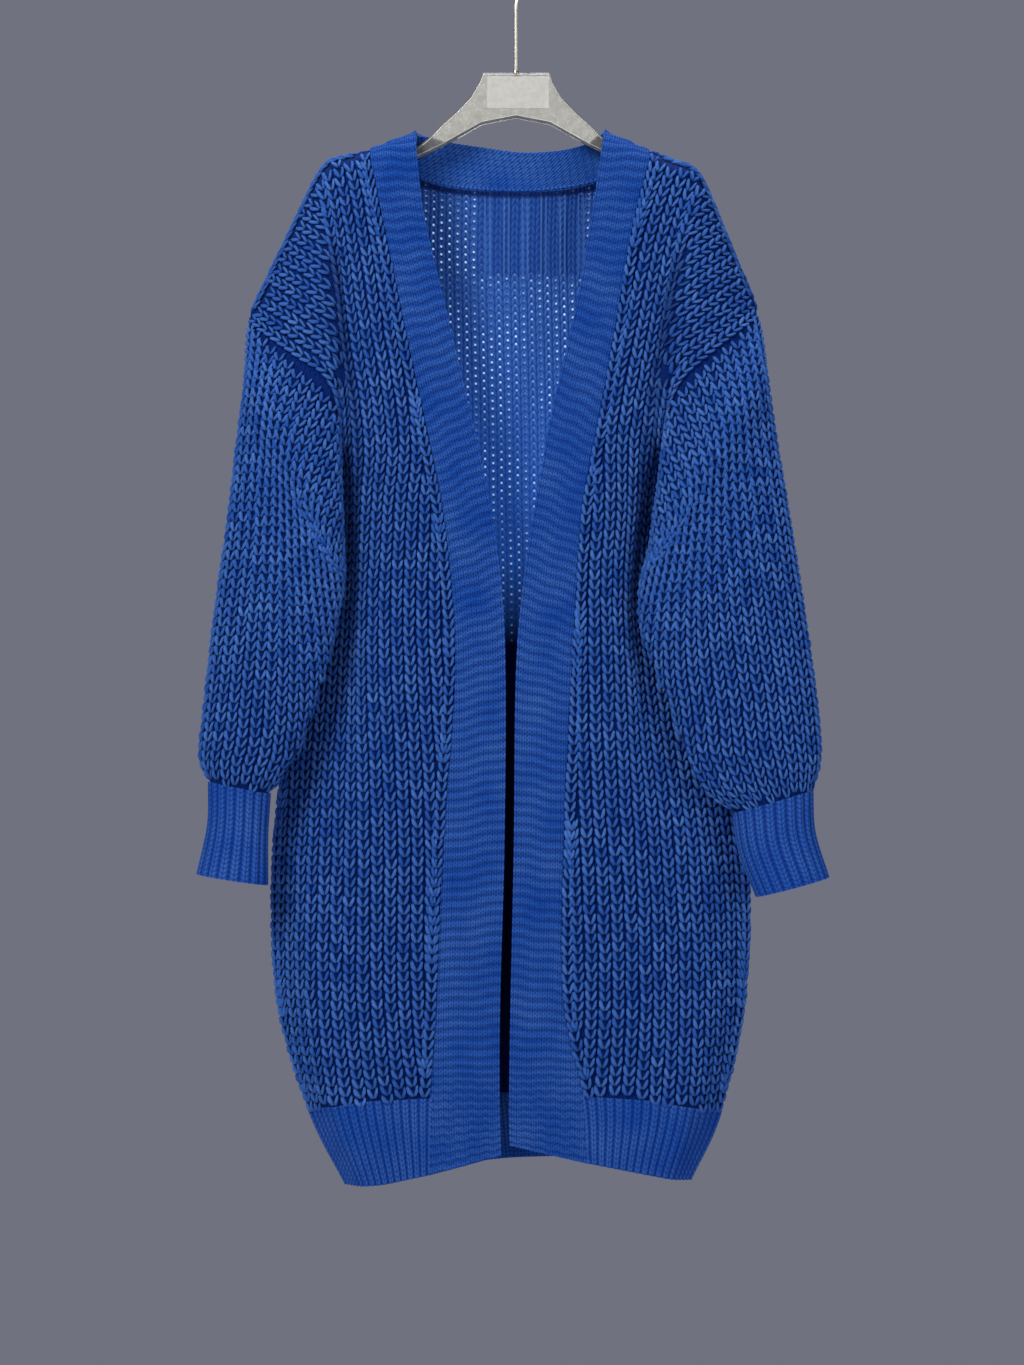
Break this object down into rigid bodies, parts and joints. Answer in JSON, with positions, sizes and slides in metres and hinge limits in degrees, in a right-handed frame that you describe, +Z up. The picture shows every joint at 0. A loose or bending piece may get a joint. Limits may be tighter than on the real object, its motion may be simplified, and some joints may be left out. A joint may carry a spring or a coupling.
{
  "type": "chunky cardigan on hanger",
  "caption": "Long open-front cardigan in thick half-fisherman rib, blue, hung flat on a clear hanger with a metal hook",
  "frame": {"origin": "the inner top of the hanger's hook, where it sits on a rail", "axes": "+Z up; the fronts face -Y; X runs from the wearer's right sleeve at -X to the left sleeve at +X"},
  "size_m": [0.5935, 0.1102, 1.1768],
  "materials": {
    "body_knit": "thick soft rib knit, matt with fine yarn fuzz",
    "rib_knit": "fine close rib knit, matt",
    "band_knit": "fine knit band with cross ridges, matt",
    "hanger_acrylic": "clear polished acrylic",
    "hook_metal": "brushed warm-grey metal wire"
  },
  "bodies": {
    "root": {"back": "body_knit", "front_right": "body_knit", "front_left": "body_knit", "sleeve_right": "body_knit", "sleeve_left": "body_knit", "cuff_right": "rib_knit", "cuff_left": "rib_knit", "hem_back": "rib_knit", "hem_front_right": "rib_knit", "hem_front_left": "rib_knit", "band_right": "band_knit", "band_left": "band_knit", "band_neck": "band_knit", "hanger_body": "hanger_acrylic", "hanger_hook": "hook_metal"}
  },
  "joints": []
}
